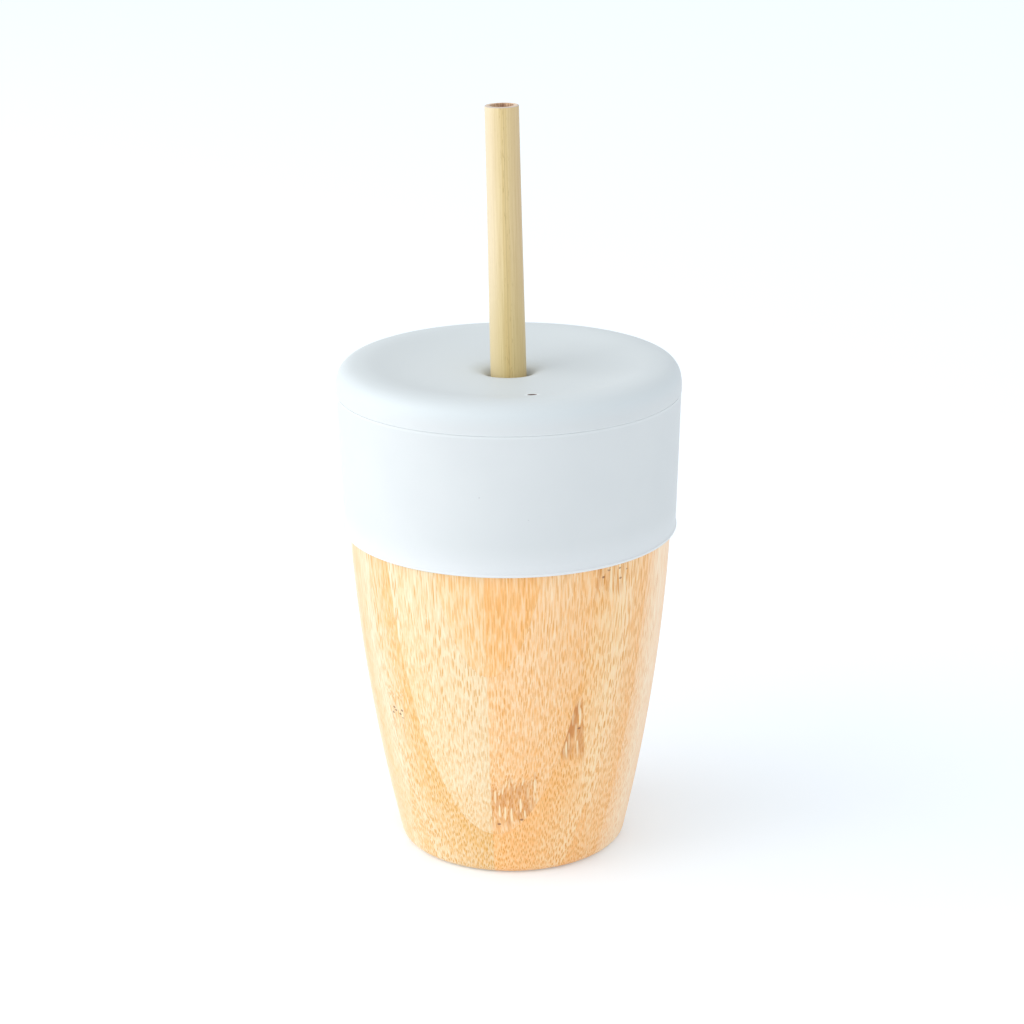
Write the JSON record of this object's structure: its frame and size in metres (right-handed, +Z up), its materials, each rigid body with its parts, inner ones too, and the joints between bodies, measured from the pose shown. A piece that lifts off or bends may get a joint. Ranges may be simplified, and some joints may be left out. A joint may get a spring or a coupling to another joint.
{
  "type": "bamboo cup",
  "caption": "Tapered drinking cup turned from glued bamboo strips, with a pull-off silicone lid and a bamboo straw through its dished top.",
  "frame": {"origin": "middle of the foot, on the surface that the cup stands on", "axes": "+Z up along the cup's axis, +X to the right and +Y to the back along the glued layers' width and thickness"},
  "size_m": [0.0802, 0.0802, 0.1771],
  "materials": {
    "bamboo_block": "turned and oiled laminated bamboo, satin, fine vertical fibres",
    "silicone": "matte pale grey food-grade silicone",
    "straw_bamboo": "natural bamboo culm, satin, fine lengthwise fibres"
  },
  "bodies": {
    "cup": {"strip_front_6_left_1": "bamboo_block", "strip_front_6_right_1": "bamboo_block", "strip_front_5_left_2": "bamboo_block", "strip_front_5_left_1": "bamboo_block", "strip_front_5_right_1": "bamboo_block", "strip_front_5_right_2": "bamboo_block", "strip_front_4_left_2": "bamboo_block", "strip_front_4_left_1": "bamboo_block", "strip_front_4_right_1": "bamboo_block", "strip_front_4_right_2": "bamboo_block", "strip_front_3_left_2": "bamboo_block", "strip_front_3_left_1": "bamboo_block", "strip_front_3_right_1": "bamboo_block", "strip_front_3_right_2": "bamboo_block", "strip_front_2_left_2": "bamboo_block", "strip_front_2_left_1": "bamboo_block", "strip_front_2_right_1": "bamboo_block", "strip_front_2_right_2": "bamboo_block", "strip_front_1_left_2": "bamboo_block", "strip_front_1_left_1": "bamboo_block", "strip_front_1_right_1": "bamboo_block", "strip_front_1_right_2": "bamboo_block", "strip_middle_left_2": "bamboo_block", "strip_middle_left_1": "bamboo_block", "strip_middle_right_1": "bamboo_block", "strip_middle_right_2": "bamboo_block", "strip_back_1_left_2": "bamboo_block", "strip_back_1_left_1": "bamboo_block", "strip_back_1_right_1": "bamboo_block", "strip_back_1_right_2": "bamboo_block", "strip_back_2_left_2": "bamboo_block", "strip_back_2_left_1": "bamboo_block", "strip_back_2_right_1": "bamboo_block", "strip_back_2_right_2": "bamboo_block", "strip_back_3_left_2": "bamboo_block", "strip_back_3_left_1": "bamboo_block", "strip_back_3_right_1": "bamboo_block", "strip_back_3_right_2": "bamboo_block", "strip_back_4_left_2": "bamboo_block", "strip_back_4_left_1": "bamboo_block", "strip_back_4_right_1": "bamboo_block", "strip_back_4_right_2": "bamboo_block", "strip_back_5_left_2": "bamboo_block", "strip_back_5_left_1": "bamboo_block", "strip_back_5_right_1": "bamboo_block", "strip_back_5_right_2": "bamboo_block", "strip_back_6_left_1": "bamboo_block", "strip_back_6_right_1": "bamboo_block"},
    "lid": {"lid": "silicone"},
    "straw": {"straw": "straw_bamboo"}
  },
  "joints": [
    {"name": "lid_lift", "type": "slide", "parent": "cup", "child": "lid", "axis": [0, 0, 1], "range_m": [0, 0.05]},
    {"name": "straw_slide", "type": "slide", "parent": "lid", "child": "straw", "axis": [-0.0157, 0, 0.9999], "range_m": [0, 0.11]}
  ]
}
